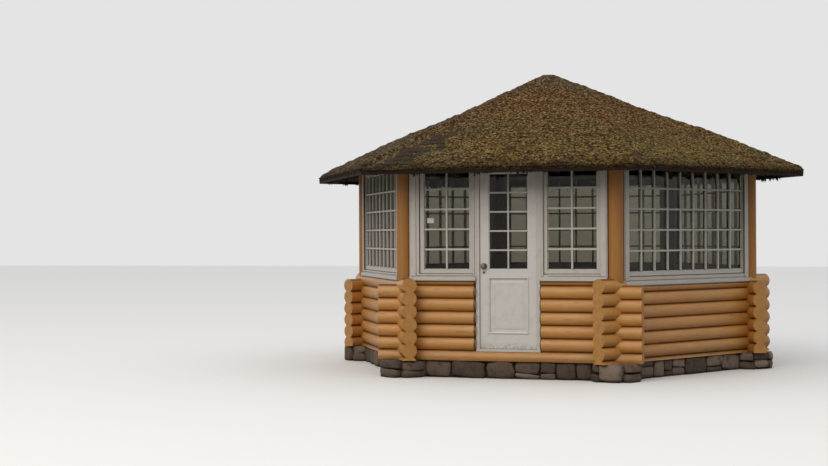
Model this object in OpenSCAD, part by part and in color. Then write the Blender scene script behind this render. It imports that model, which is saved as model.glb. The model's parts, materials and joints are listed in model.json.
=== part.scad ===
/*
 Six-sided log pavilion on a rubble plinth, with glazed sides above a low log wall,
 round corner posts and a mossy hexagonal roof. +Z is up, the door side faces -Y and
 the origin is the middle of the plan, on the ground. All sizes are in millimetres.
*/

/* [Plan] */
// Length of one side, between the centres of two corner posts
side_len = 2500; // [2350:10:2800]
// Height of the stone plinth above the ground
plinth_h = 200; // [150:10:300]
// Thickness of the stone plinth
plinth_t = 225; // [180:5:300]
// How far the plinth stands back under the outer face of the logs
plinth_inset = 10; // [0:5:40]
// Radius of the stones packed under each corner
corner_stone_r = 285; // [240:5:290]

/* [Logs] */
// Diameter of a wall log
log_d = 170; // [164:1:180]
// Height that each log adds to its wall
log_pitch = 150; // [144:1:156]
// Number of whole logs in a wall
log_count = 6; // [4:1:7]
// Height of the lowest log's centre above the plinth
first_log_lift = 40; // [30:1:50]
// Length that a log runs on past its corner
log_pass = 300; // [220:10:340]
// Clearance between two logs, or a log and what is scribed to it
scribe = 0.3; // [0.2:0.1:0.6]

/* [Posts and plate] */
// Diameter of a corner post
post_d = 170; // [150:1:180]
// Height of the post tops and window heads above the ground
head_z = 2470; // [2450:5:2560]
// Height of the wall plate
plate_h = 100; // [80:5:120]
// Width of the wall plate
plate_w = 120; // [90:5:150]

/* [Windows] */
// Height of the window seats above the centre of the top log on a low wall
seat_lift = 55; // [45:1:65]
// How much lower the right front window sits
right_drop = 54; // [40:1:60]
// Depth of the casing in front of the post centres
casing_out = 50; // [40:1:60]
// Depth of the window frame behind the post centres
frame_in = 30; // [20:1:50]
// Depth that the sash stands back from the casing
sash_back = 18; // [10:1:24]
// Width of a sash stile and rail
sash_w = 45; // [35:1:55]
// Width of the groove round a sash
groove_w = 10; // [4:1:14]
// Height of the sill board
sill_h = 50; // [40:1:60]
// Projection of the sill board in front of the casing
sill_out = 28; // [15:1:35]
// Height from the window seat to the glass
glass_lift = 127; // [120:1:140]
// Height of wood between the window head and the glass top
head_rail_h = 63; // [55:1:110]
// Distance of the glass behind the face of the casing
glass_in = 45; // [38:1:52]
// Extra height of the right front window's glass, at its bottom edge
right_glass_extra = 23; // [0:1:25]
// Width of wood between a post and the glass on a full side window
side_stile_w = 95; // [80:1:150]
// Width of wood between the post and the glass left of the door
left_post_stile_w = 171; // [140:1:200]
// Width of wood between the glass and the door frame left of the door
left_door_stile_w = 81; // [75:1:110]
// Width of wood between the door frame and the glass right of the door
right_door_stile_w = 79; // [75:1:110]
// Width of wood between the glass and the post right of the door
right_post_stile_w = 123; // [100:1:160]
// Thickness of the glass
glass_t = 4; // [3:0.5:6]
// Width of the rebate that holds a glass
rebate_w = 12; // [8:1:14]
// Play of the glass in its rebate
glass_play = 2; // [1:0.5:4]

/* [Door] */
// Distance of the door's centre from the middle of its wall
door_x = 14; // [0:1:20]
// Width of the door leaf
leaf_w = 690; // [670:5:700]
// Height of the leaf's top edge above the ground
leaf_top = 2420; // [2380:5:2425]
// Thickness of the leaf
leaf_t = 40; // [36:1:44]
// Depth of the leaf behind the face of the casing
leaf_back = 20; // [18:1:24]
// Gap between the leaf and its frame
door_gap = 7; // [6:0.5:8]
// Thickness of a door jamb
jamb_t = 26; // [22:1:30]
// Thickness of the stop strip in front of the leaf
stop_t = 14; // [10:1:15]
// Width of leaf that the stop strip covers
stop_lap = 8; // [6:1:12]
// Width of the leaf's stiles beside its glass
stile_w = 117; // [105:1:125]
// Clearance between the sill log and the leaf
leaf_lift = 5; // [4:1:10]
// Height of the leaf's glass above the ground
door_glass_z = 1249; // [1230:1:1260]
// Height of the leaf's top rail above its glass
top_rail_h = 72; // [60:1:100]
// Distance of the leaf's glass behind its outer face
door_glass_in = 18; // [14:1:22]
// Height of the lower panel's bottom edge above the ground
door_panel_z = 524; // [480:1:560]
// Height of the rail between the lower panel and the glass
lock_rail_h = 97; // [80:1:140]
// Depth of the lower panel's recess
panel_recess = 10; // [6:1:14]
// Height of the door knob above the ground
knob_z = 1285; // [1150:5:1310]
// Distance of the knob from the leaf's free edge
knob_in = 58; // [48:1:68]
// Radius of the knob
knob_r = 29; // [20:1:34]
// Projection of the knob from the leaf
knob_out = 56; // [48:1:64]
// Radius of the rose behind the knob
rose_r = 38; // [24:1:44]
// Radius of the keyhole plate
keyhole_r = 15; // [12:1:18]
// Distance of the keyhole plate below the knob
keyhole_drop = 72; // [60:1:90]
// Distance of the outer hinges from the leaf's ends
hinge_end = 180; // [150:5:240]
// Width of a hinge plate on the leaf
hinge_plate_w = 27; // [22:1:32]
// Thickness of the hinge plates
hinge_plate_t = 3; // [2:0.5:4]
// Radius of the hinge knuckles
knuckle_r = 7; // [6.5:0.5:8]
// Radius of the hinge pins
pin_r = 4; // [3.5:0.1:4.5]
// Height of one hinge
hinge_h = 100; // [80:5:120]

/* [Roof] */
// Overhang of the eave edge outside the post centres
eave_out = 575; // [440:1:640]
// Height of the roof's underside above the outer edge of the wall plate
roof_lift = 43; // [30:1:60]
// Slope of the roof in degrees
roof_slope = 26; // [24:0.5:30]
// Thickness of boards, covering and moss, measured plumb
cover_t = 75; // [60:1:90]
// Height that the mossy top loses to its blunt tip
tip_loss = 83; // [40:1:120]
// Width of the rounding along the eave edge
eave_round = 30; // [15:1:40]
// Width of a hip rafter
rafter_w = 70; // [50:1:90]
// Plumb depth of a hip rafter
rafter_h = 118; // [90:1:140]
// Height of the block that the rafters meet at
boss_drop = 160; // [130:5:200]
// Distance from the rafters' tails to the eave corner
tail_back = 60; // [40:5:120]
// Thickness of the fascia boards
fascia_t = 22; // [16:1:30]
// Distance of the fascia boards behind the eave edge
fascia_back = 12; // [6:1:30]
// Depth of the fascia boards below the eave edge
fascia_drop = 22; // [10:1:40]

/* [Floor] */
// Thickness of the floor boards
floor_t = 30; // [22:1:35]
// Height of the floor joists
joist_h = 80; // [70:1:85]
// Width of the floor joists
joist_w = 60; // [45:1:80]
// Distance between the floor joists
joist_step = 500; // [400:10:600]

/* [Hidden] */
$fn = 64;

sides = 6;
turn = 360 / sides;
half_turn = turn / 2;
apothem = side_len / 2 / tan(half_turn);
half_side = side_len / 2;
log_reach = half_side + log_pass;
log_r = log_d / 2;
post_r = post_d / 2;
far = 4 * side_len;
post_foot_share = 0.53;
jamb_foot_share = 0.7;
sill_nose_share = 0.7;
eps = 1;

front = 0;
right_front = 1;
right_back = 2;
back = 3;
left_back = 4;
left_front = 5;

// A side with an even number starts on the plinth with a whole log, an odd one with a half
function is_low(i) = i % 2 == 1;
function log_z(i, k) = plinth_h + first_log_lift + (k + (is_low(i) ? 0.5 : 0)) * log_pitch;
seat_z = log_z(1, log_count - 1) + seat_lift;
function window_seat(i) = i == right_front ? seat_z - right_drop : seat_z;
function glass_raise(i) = glass_lift + (i == right_front ? right_glass_extra : 0);
function glass_bottom(i) = window_seat(i) + glass_raise(i);
glass_top = head_z - head_rail_h;

frame_half = half_side - post_r - scribe;
leaf_left = door_x - leaf_w / 2;
leaf_right = door_x + leaf_w / 2;
door_left = leaf_left - door_gap - jamb_t;
door_right = leaf_right + door_gap + jamb_t;
leaf_out = -casing_out + leaf_back;
leaf_in = leaf_out + leaf_t;
leaf_foot = log_z(front, 0) + log_r + leaf_lift;
jamb_foot = log_z(front, 0) + jamb_foot_share * log_r;
glass_y = -casing_out + glass_in;
door_glass_y = leaf_out + door_glass_in;
door_glass_top = leaf_top - top_rail_h;
door_panel_top = door_glass_z - lock_rail_h;
hinge_x = leaf_right + (door_gap - eps) / 2;
hinge_y = leaf_in + knuckle_r + eps;
hinge_zs = [
    leaf_foot + hinge_end,
    (leaf_foot + leaf_top - hinge_h) / 2,
    leaf_top - hinge_end - hinge_h
];

side_glass_half = frame_half - side_stile_w;
left_glass_from = -frame_half + left_post_stile_w;
left_glass_to = door_left - scribe - left_door_stile_w;
right_glass_from = door_right + scribe + right_door_stile_w;
right_glass_to = frame_half - right_post_stile_w;

slope = tan(roof_slope);
eave_apothem = apothem + eave_out;
eave_z = head_z + plate_h + roof_lift - (eave_out - plate_w / 2) * slope;
under_top = eave_z + eave_apothem * slope;
hip_slope = slope * cos(half_turn);
eave_radius = eave_apothem / cos(half_turn);
// The tip is a parabola that leaves the slope where it has lost tip_loss at the middle
tip_from = 2 * tip_loss / slope;
boss_spare = 25;
boss_apothem = rafter_w / 2 / tan(half_turn) + boss_spare;
boss_reach = boss_apothem / cos(half_turn);
boss_top = under_top - boss_reach * slope;
over_top = far / 8;
floor_apothem = apothem - log_r - eps;
floor_z = plinth_h + joist_h;

module on_side(i) {
    rotate([0, 0, turn * i]) translate([0, -apothem, 0]) children();
}

module at_corner(i) {
    on_side(i) translate([half_side, 0, 0]) children();
}

// A box from its low and high corners
module block(low, high) {
    translate(low) cube(high - low);
}

// A slab that follows one side, with mitred ends, from its inner to its outer face
module mitred_bar(inner, outer, low, high) {
    reach_in = (apothem - inner) * tan(half_turn) - scribe / 2;
    reach_out = (apothem + outer) * tan(half_turn) - scribe / 2;
    translate([0, 0, low]) linear_extrude(high - low)
        polygon([[-reach_out, -outer], [reach_out, -outer], [reach_in, inner], [-reach_in, inner]]);
}

module stone_plinth() {
    outer = log_r - plinth_inset;
    color("dimgray") for (i = [0:sides - 1]) difference() {
        on_side(i) mitred_bar(plinth_t - outer, outer, 0, plinth_h);
        for (j = [i, i + sides - 1]) at_corner(j)
            translate([0, 0, -eps]) cylinder(r = corner_stone_r + scribe, h = plinth_h + 2 * eps);
    }
}

module corner_stones() {
    color("gray") for (i = [0:sides - 1]) at_corner(i) cylinder(r = corner_stone_r, h = plinth_h);
}

module floor_hexagon(shrink) {
    circle(r = (floor_apothem - shrink) / cos(half_turn), $fn = sides);
}

module floor_joists() {
    joist_n = floor(floor_apothem / joist_step - 0.5);
    color("saddlebrown") translate([0, 0, plinth_h]) for (j = [-joist_n:joist_n])
        linear_extrude(joist_h) intersection() {
            translate([j * joist_step - joist_w / 2, -far]) square([joist_w, 2 * far]);
            floor_hexagon(0);
        }
}

module floor_boards() {
    color("peru") translate([0, 0, floor_z]) linear_extrude(floor_t) floor_hexagon(0);
}

module log_bar(z, from, to, d = log_d) {
    translate([from, 0, z]) rotate([0, 90, 0]) cylinder(d = d, h = to - from);
}

// The neighbour's log where it crosses this side at its right (1) or left (-1) end
module crossing_log(end, z) {
    translate([end * half_side, 0, 0]) rotate([0, 0, end * turn])
        log_bar(z, -3 * log_d, 3 * log_d, log_d + 2 * scribe);
}

// One log, grooved over the log below and saddle notched over the logs that cross under it
module notched_log(i, k, from, to) {
    z = log_z(i, k);
    difference() {
        log_bar(z, from, to);
        if (k >= (is_low(i) ? 0 : 1)) log_bar(z - log_pitch, from - eps, to + eps, log_d + 2 * scribe);
        if (from < -half_side) crossing_log(-1, z - log_pitch / 2);
        if (to > half_side) crossing_log(1, z - log_pitch / 2);
        if (z - log_r < plinth_h) block([from - eps, -log_d, z - log_d], [to + eps, log_d, plinth_h]);
    }
}

// The thin sawn log that fills a wall up to its window seat
module seat_log(i, from, to) {
    z = log_z(i, log_count);
    difference() {
        log_bar(z, from, to);
        log_bar(z - log_pitch, from - eps, to + eps, log_d + 2 * scribe);
        for (end = [-1, 1]) crossing_log(end, z - log_pitch / 2);
        block([from - eps, -log_d, window_seat(i)], [to + eps, log_d, z + log_d]);
    }
}

module high_wall(i, from, to, first) {
    color("goldenrod") on_side(i) {
        for (k = [first:log_count - 1]) notched_log(i, k, from, to);
        seat_log(i, max(from, -frame_half), min(to, frame_half));
    }
}

module low_wall(i) {
    top = log_count - 1;
    color("goldenrod") on_side(i) {
        for (k = [-1:top - 1]) notched_log(i, k, -log_reach, log_reach);
        difference() {
            notched_log(i, top, -log_reach, log_reach);
            block([-half_side + post_r, -log_d, window_seat(i)],
                  [half_side - post_r, log_d, log_z(i, top) + log_d]);
        }
    }
}

module front_sill_log() {
    color("goldenrod") on_side(front) notched_log(front, 0, -log_reach, log_reach);
}

// A corner post, scribed over the top log that crosses below it
module corner_post(i) {
    low_side = is_low(i) ? i : i + 1;
    top_z = log_z(1, log_count - 1);
    foot = top_z + post_foot_share * log_r;
    color("chocolate") difference() {
        at_corner(i) translate([0, 0, foot]) cylinder(r = post_r, h = head_z - foot);
        on_side(low_side) log_bar(top_z, -far, far, log_d + 2 * scribe);
    }
}

// Casing, frame, sash and sill of one window as a ring, from its wall's left to its right
module window_frame(i, from, to, glass_from, glass_to) {
    seat = window_seat(i);
    bottom = glass_bottom(i);
    sash_front = -casing_out + sash_back;
    edge = sash_w + groove_w;
    color("gainsboro") on_side(i) difference() {
        union() {
            block([from, -casing_out, seat], [to, frame_in, head_z]);
            translate([from, 0, 0]) rotate([90, 0, 90]) linear_extrude(to - from) polygon([
                [-casing_out + eps, seat], [-casing_out - sill_out, seat],
                [-casing_out - sill_out, seat + sill_nose_share * sill_h], [-casing_out + eps, seat + sill_h]
            ]);
        }
        block([glass_from, -far, bottom], [glass_to, far, glass_top]);
        block([glass_from - rebate_w, glass_y, bottom - rebate_w],
              [glass_to + rebate_w, far, glass_top + rebate_w]);
        // The sash stands back from the casing, with a groove round it
        block([glass_from - edge, -casing_out - eps, bottom - edge],
              [glass_to + edge, sash_front, head_z + eps]);
        difference() {
            block([glass_from - edge, -casing_out - eps, bottom - edge],
                  [glass_to + edge, sash_front + sash_back, head_z + eps]);
            block([glass_from - sash_w, -far, bottom - sash_w], [glass_to + sash_w, far, head_z + far]);
        }
        for (end = [-1, 1]) crossing_log(end, log_z(i, log_count - 1) + (is_low(i) ? -0.5 : 0.5) * log_pitch);
    }
}

module side_window(i) {
    window_frame(i, -frame_half, frame_half, -side_glass_half, side_glass_half);
}

module front_left_window() {
    window_frame(front, -frame_half, door_left - scribe, left_glass_from, left_glass_to);
}

module front_right_window() {
    window_frame(front, door_right + scribe, frame_half, right_glass_from, right_glass_to);
}

module glass_sheet(i, from, to) {
    lap = rebate_w - glass_play;
    on_side(i) block([from - lap, glass_y, glass_bottom(i) - lap],
                     [to + lap, glass_y + glass_t, glass_top + lap]);
}

module window_glass() {
    color("darkslategray") {
        glass_sheet(front, left_glass_from, left_glass_to);
        glass_sheet(front, right_glass_from, right_glass_to);
        for (i = [1:sides - 1]) glass_sheet(i, -side_glass_half, side_glass_half);
    }
}

// Jambs, head and the stop strips that the leaf closes against from inside
module door_frame() {
    stop_in = -casing_out + stop_t;
    color("gainsboro") on_side(front) difference() {
        block([door_left, -casing_out, jamb_foot], [door_right, leaf_in, head_z]);
        block([leaf_left - door_gap, stop_in, jamb_foot - eps],
              [leaf_right + door_gap, leaf_in + eps, leaf_top + door_gap]);
        block([leaf_left + stop_lap, -casing_out - eps, leaf_foot + stop_lap],
              [leaf_right - stop_lap, leaf_in, leaf_top - stop_lap]);
        log_bar(log_z(front, 0), -half_side, half_side, log_d + 2 * scribe);
    }
}

module door_leaf() {
    glass_from = leaf_left + stile_w;
    glass_to = leaf_right - stile_w;
    color("whitesmoke") on_side(front) difference() {
        block([leaf_left, leaf_out, leaf_foot], [leaf_right, leaf_in, leaf_top]);
        block([glass_from, leaf_out - eps, door_glass_z],
              [glass_to, leaf_in + eps, door_glass_top]);
        block([glass_from - rebate_w, door_glass_y, door_glass_z - rebate_w],
              [glass_to + rebate_w, leaf_in + eps, door_glass_top + rebate_w]);
        block([glass_from, leaf_out - eps, door_panel_z],
              [glass_to, leaf_out + panel_recess, door_panel_top]);
        block([glass_from, leaf_in - panel_recess, door_panel_z],
              [glass_to, leaf_in + eps, door_panel_top]);
    }
}

module door_glass() {
    lap = rebate_w - glass_play;
    color("darkslategray") on_side(front)
        block([leaf_left + stile_w - lap, door_glass_y, door_glass_z - lap],
              [leaf_right - stile_w + lap, door_glass_y + glass_t, door_glass_top + lap]);
}

// A turned knob on its rose and a keyhole plate below it, standing on the face y = 0 towards -Y
module knob_set() {
    plate_out = 0.07 * knob_out;
    rotate([90, 0, 0]) {
        rotate_extrude() polygon([
            [0, 0], [rose_r, 0], [rose_r, 0.07 * knob_out], [0.85 * rose_r, 0.12 * knob_out],
            [0.4 * knob_r, 0.14 * knob_out], [0.36 * knob_r, 0.4 * knob_out],
            [0.64 * knob_r, 0.5 * knob_out], [0.96 * knob_r, 0.64 * knob_out],
            [knob_r, 0.78 * knob_out], [0.84 * knob_r, 0.91 * knob_out],
            [0.4 * knob_r, 0.98 * knob_out], [0, knob_out]
        ]);
        translate([0, -keyhole_drop, 0]) difference() {
            cylinder(r = keyhole_r, h = plate_out);
            translate([0, 0, plate_out / 3]) cylinder(r = keyhole_r / 4, h = plate_out);
        }
    }
}

module door_handle() {
    color("silver") on_side(front) translate([leaf_left + knob_in, 0, knob_z]) {
        translate([0, leaf_out, 0]) knob_set();
        translate([0, leaf_in, 0]) rotate([0, 0, 180]) knob_set();
    }
}

// The fixed half of each hinge: plate, lower knuckle and pin
module frame_hinges() {
    color("dimgray") on_side(front) for (z = hinge_zs) {
        translate([hinge_x, hinge_y, z]) {
            cylinder(r = knuckle_r, h = hinge_h / 2);
            cylinder(r = pin_r, h = hinge_h);
        }
        block([hinge_x, leaf_in, z], [door_right - 2 * eps, leaf_in + hinge_plate_t, z + hinge_h / 2]);
    }
}

// The moving half of each hinge: plate and the knuckle that turns on the pin
module leaf_hinges() {
    bore_play = 0.1;
    color("dimgray") on_side(front) for (z = hinge_zs) difference() {
        union() {
            translate([hinge_x, hinge_y, z + hinge_h / 2 + scribe])
                cylinder(r = knuckle_r, h = hinge_h / 2 - scribe);
            block([leaf_right - hinge_plate_w, leaf_in, z + hinge_h / 2 + scribe],
                  [hinge_x, leaf_in + hinge_plate_t, z + hinge_h]);
        }
        translate([hinge_x, hinge_y, z]) cylinder(r = pin_r + bore_play, h = hinge_h + eps);
    }
}

module wall_plate() {
    color("sienna") for (i = [0:sides - 1])
        on_side(i) mitred_bar(plate_w / 2, plate_w / 2, head_z, head_z + plate_h);
}

// All that lies under the roof's slope on one side
module under_slope(i) {
    rotate([0, 0, turn * i]) rotate([90, 0, -90]) translate([0, 0, -far / 2]) linear_extrude(far)
        polygon([
            [-over_top, 0], [eave_apothem, 0], [eave_apothem, eave_z],
            [-over_top, under_top + over_top * slope]
        ]);
}

// A hip rafter, backed to the two slopes and notched over the plate
module hip_rafter(i) {
    end_r = eave_radius - tail_back;
    tail_z = eave_z - fascia_drop;
    level_r = (under_top - rafter_h - tail_z) / hip_slope;
    difference() {
        intersection() {
            rotate([0, 0, turn * i - turn]) translate([0, rafter_w / 2, 0]) rotate([90, 0, 0])
                linear_extrude(rafter_w) polygon([
                    [boss_apothem + scribe, boss_top],
                    [boss_apothem + scribe, under_top - rafter_h - boss_apothem * hip_slope],
                    [level_r, tail_z], [end_r, tail_z], [end_r, boss_top]
                ]);
            under_slope(i);
            under_slope(i + 1);
        }
        for (j = [i, i + 1]) on_side(j)
            mitred_bar(plate_w / 2 + scribe, plate_w / 2 + scribe, head_z - eps, head_z + plate_h + scribe);
        at_corner(i) cylinder(r = 3 * scribe, h = head_z + plate_h + scribe);
    }
}

module hip_rafters() {
    color("saddlebrown") for (i = [0:sides - 1]) hip_rafter(i);
}

// The block at the top that the six rafters meet at
module roof_boss() {
    color("saddlebrown") translate([0, 0, boss_top - scribe - boss_drop]) rotate(half_turn)
        cylinder(r = boss_reach, h = boss_drop, $fn = sides);
}

// One slope of the roof: boards and mossy covering, blunt at the tip and rounded at the eave
module roof_panel(i) {
    top = under_top + cover_t;
    tip_steps = 5;
    tip = [for (s = [1:tip_steps]) let (a = tip_from * s / tip_steps)
        [a, top - tip_loss - slope * a * a / (2 * tip_from)]];
    color("olivedrab") rotate([0, 0, turn * i]) intersection() {
        rotate([90, 0, -90]) translate([0, 0, -far / 2]) linear_extrude(far) polygon(concat(
            [[boss_reach, boss_top], [0, boss_top], [0, top - tip_loss]], tip,
            [[eave_apothem - eave_round, eave_z + cover_t + eave_round * slope],
             [eave_apothem, eave_z + cover_t - 0.83 * eave_round], [eave_apothem, eave_z]]
        ));
        linear_extrude(far) polygon([
            [0, -scribe], [far * tan(half_turn), -far], [-far * tan(half_turn), -far]
        ]);
    }
}

module fascia() {
    outer = eave_apothem - apothem - fascia_back;
    color("dimgray") for (i = [0:sides - 1]) intersection() {
        on_side(i) mitred_bar(fascia_t - outer, outer, eave_z - fascia_drop, eave_z + over_top);
        under_slope(i);
    }
}

stone_plinth();
corner_stones();
floor_joists();
floor_boards();
front_sill_log();
high_wall(front, -log_reach, door_left - scribe, 1);  // front_wall_left
high_wall(front, door_right + scribe, log_reach, 1);  // front_wall_right
low_wall(right_front);  // right_front_wall
high_wall(right_back, -log_reach, log_reach, 0);  // right_back_wall
low_wall(back);  // back_wall
high_wall(left_back, -log_reach, log_reach, 0);  // left_back_wall
low_wall(left_front);  // left_front_wall
corner_post(front);  // corner_post_1
corner_post(right_front);  // corner_post_2
corner_post(right_back);  // corner_post_3
corner_post(back);  // corner_post_4
corner_post(left_back);  // corner_post_5
corner_post(left_front);  // corner_post_6
front_left_window();
front_right_window();
side_window(right_front);  // right_front_window
side_window(right_back);  // right_back_window
side_window(back);  // back_window
side_window(left_back);  // left_back_window
side_window(left_front);  // left_front_window
window_glass();
door_frame();
door_leaf();
door_glass();
door_handle();
frame_hinges();
leaf_hinges();
wall_plate();
hip_rafters();
roof_boss();
roof_panel(front);  // roof_front
roof_panel(right_front);  // roof_right_front
roof_panel(right_back);  // roof_right_back
roof_panel(back);  // roof_back
roof_panel(left_back);  // roof_left_back
roof_panel(left_front);  // roof_left_front
fascia();
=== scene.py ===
"""Looks of a six-sided log pavilion: stained logs, weathered white joinery, old glass and a mossy roof."""

import json
import math
import random

import bmesh
import bpy
from mathutils import Matrix, Vector, noise


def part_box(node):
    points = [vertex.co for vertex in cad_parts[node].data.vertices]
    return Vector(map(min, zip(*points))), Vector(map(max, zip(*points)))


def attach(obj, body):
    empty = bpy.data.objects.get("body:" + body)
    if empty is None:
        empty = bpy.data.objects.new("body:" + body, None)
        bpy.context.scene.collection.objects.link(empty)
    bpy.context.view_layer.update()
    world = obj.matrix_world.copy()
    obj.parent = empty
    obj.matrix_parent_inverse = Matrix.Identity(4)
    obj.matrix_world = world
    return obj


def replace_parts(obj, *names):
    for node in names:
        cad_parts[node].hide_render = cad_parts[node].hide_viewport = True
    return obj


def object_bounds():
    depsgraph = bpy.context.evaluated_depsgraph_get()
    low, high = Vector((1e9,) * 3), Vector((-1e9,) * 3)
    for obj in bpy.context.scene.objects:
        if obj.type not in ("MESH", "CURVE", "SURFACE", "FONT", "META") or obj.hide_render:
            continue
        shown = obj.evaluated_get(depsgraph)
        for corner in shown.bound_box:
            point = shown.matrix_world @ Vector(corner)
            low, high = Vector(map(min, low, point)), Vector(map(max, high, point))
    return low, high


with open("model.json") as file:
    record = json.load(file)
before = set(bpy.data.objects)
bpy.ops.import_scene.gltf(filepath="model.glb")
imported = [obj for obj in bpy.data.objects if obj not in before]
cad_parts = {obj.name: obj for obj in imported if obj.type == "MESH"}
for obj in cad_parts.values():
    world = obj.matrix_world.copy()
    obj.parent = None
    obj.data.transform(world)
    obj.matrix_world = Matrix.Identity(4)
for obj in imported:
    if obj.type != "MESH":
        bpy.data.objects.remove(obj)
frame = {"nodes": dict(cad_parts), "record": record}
CAD_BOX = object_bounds()

# Plan and heights, in metres, as the construction has them
SIDES = 6
SIDE_LEN = 2.5
TAN_HALF = math.tan(math.pi / SIDES)
APOTHEM = SIDE_LEN / 2 / TAN_HALF
LOG_PITCH = 0.15
PLINTH_TOP = 0.20
FIRST_LOG_Z = 0.24
EAVE_APOTHEM = -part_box("roof_front")[0].y
EAVE_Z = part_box("roof_front")[0].z
EAVE_HALF = EAVE_APOTHEM * TAN_HALF
PITCH = math.radians(26)
SLOPE = math.tan(PITCH)
COVER_T = 0.075
TIP_LOSS = EAVE_Z + EAVE_APOTHEM * SLOPE + COVER_T - CAD_BOX[1][2]
SHINGLE_EXPOSURE = 0.115
COURSE_RISE = 0.0504
HEAD_Z = 2.47

SIDE_NAMES = ["front", "right_front", "right_back", "back", "left_back", "left_front"]

# Glass edges along each wall, foot of the glass and number of pane columns
PANE_ROWS = 5
BAR_W = 0.022
FULL_GLASS = 1.07
GLASS_FOOT = 1.247
WINDOWS = {
    "front_left": ("front", -0.994, -0.445, GLASS_FOOT, 2),
    "front_right": ("front", 0.471, 1.042, GLASS_FOOT, 2),
    "right_front": ("right_front", -FULL_GLASS, FULL_GLASS, 1.216, 9),
}
for side in SIDE_NAMES[2:]:
    WINDOWS[side] = (side, -FULL_GLASS, FULL_GLASS, GLASS_FOOT, 9)
FRAME_HALF = 1.1647
FRAME_SPANS = {"front_left": (-FRAME_HALF, -0.3643), "front_right": (0.3923, FRAME_HALF)}
CASING_FACE = -0.050
SEAT_Z = 1.120
RIGHT_SEAT_Z = 1.066
SILL_H = 0.050
GLASS_TOP = 2.407
GLASS_FACE = -0.005

# Door leaf, in its wall's coordinates: left, right, foot, top
LEAF_OUT, LEAF_IN = -0.030, 0.010
DOOR_GLASS = (-0.214, 0.242, 1.249, 2.348)
DOOR_PANEL = (-0.214, 0.242, 0.524, 1.152)
DOOR_GLASS_FACE = -0.012


def linear(hex_colour):
    """An sRGB hex colour as linear RGBA."""
    channels = [int(hex_colour[i:i + 2], 16) / 255 for i in (1, 3, 5)]
    return tuple(c / 12.92 if c <= 0.04045 else ((c + 0.055) / 1.055) ** 2.4 for c in channels) + (1.0,)


def side_turn(i):
    return math.radians(60 * i)


def side_matrix(i):
    """From a wall's own axes (x along it, y inwards, from the post centres) to the frame's."""
    return Matrix.Rotation(side_turn(i), 4, "Z") @ Matrix.Translation((0, -APOTHEM, 0))


# Materials


def add(tree, kind, inputs=None, stops=(), **settings):
    """Adds a node with its settings and a colour ramp's stops. An input is a value, a hex colour,
    a socket, or a node, which gives the first output that its settings leave in use."""
    made = tree.nodes.new(kind)
    for name, value in settings.items():
        setattr(made, name, value)
    for n, (position, tone) in enumerate(stops):
        points = made.color_ramp.elements
        point = points[n] if n < len(points) else points.new(position)
        point.position, point.color = position, linear(tone)
    for key, value in (inputs or {}).items():
        if isinstance(value, bpy.types.Node):
            value = next(socket for socket in value.outputs if socket.enabled)
        if isinstance(value, bpy.types.NodeSocket):
            tree.links.new(value, made.inputs[key])
        else:
            made.inputs[key].default_value = linear(value) if isinstance(value, str) else value
    return made


def new_material(name):
    """An empty material, its tree, and the object coordinates that its patterns read."""
    mat = bpy.data.materials.new(name)
    mat.use_nodes = True
    mat.node_tree.nodes.clear()
    return mat, mat.node_tree, add(mat.node_tree, "ShaderNodeTexCoord").outputs["Object"]


def surface(mat, inputs, relief=None, depth_mm=1.0, strength=0.5):
    """Ends a material with a shader that has these inputs and a fine relief of this depth."""
    tree = mat.node_tree
    if relief is not None:
        inputs["Normal"] = add(tree, "ShaderNodeBump", {
            "Height": relief, "Distance": depth_mm / 1000, "Strength": strength})
    add(tree, "ShaderNodeOutputMaterial", {"Surface": add(tree, "ShaderNodeBsdfPrincipled", inputs)})
    return mat


def cells(tree, coords, mm, shift=(0, 0, 0)):
    """Coordinates counted in cells of this size in mm, or of three sizes along their axes."""
    per_metre = [1000 / size for size in (mm if isinstance(mm, tuple) else (mm, mm, mm))]
    return add(tree, "ShaderNodeMapping", {
        "Vector": coords, "Scale": per_metre, "Location": [count * by for count, by in zip(per_metre, shift)]})


def pattern(tree, coords, mm, detail=4.0, rough=0.55, distort=0.0, shift=(0, 0, 0)):
    """Cloudy spots of this size in mm, or streaks of three sizes along the coordinates' axes."""
    return add(tree, "ShaderNodeTexNoise", {
        "Vector": cells(tree, coords, mm, shift), "Scale": 1.0, "Detail": detail, "Roughness": rough,
        "Distortion": distort})


def zone(tree, value, low, high, ragged=None, by=0.0):
    """0 where the value is at low and 1 where it is at high, with an edge that a pattern makes ragged."""
    if ragged is not None:
        value = add(tree, "ShaderNodeMath", {0: ragged, 1: by, 2: value}, operation="MULTIPLY_ADD")
    return add(tree, "ShaderNodeMapRange", {"Value": value, "From Min": low, "From Max": high})


def worn(tree, colour, tone, share, *zones):
    """A colour with a tone laid over it, by this share where all the zones are 1."""
    for place in zones:
        share = add(tree, "ShaderNodeMath", {0: place, 1: share}, operation="MULTIPLY")
    return add(tree, "ShaderNodeMix", {0: share, 6: colour, 7: tone}, data_type="RGBA")


def off_middle(tree, value):
    """How far a value that runs from 0 to 1 is from the middle."""
    signed = add(tree, "ShaderNodeMath", {0: value, 1: 0.5}, operation="SUBTRACT")
    return add(tree, "ShaderNodeMath", {0: signed}, operation="ABSOLUTE")


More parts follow.
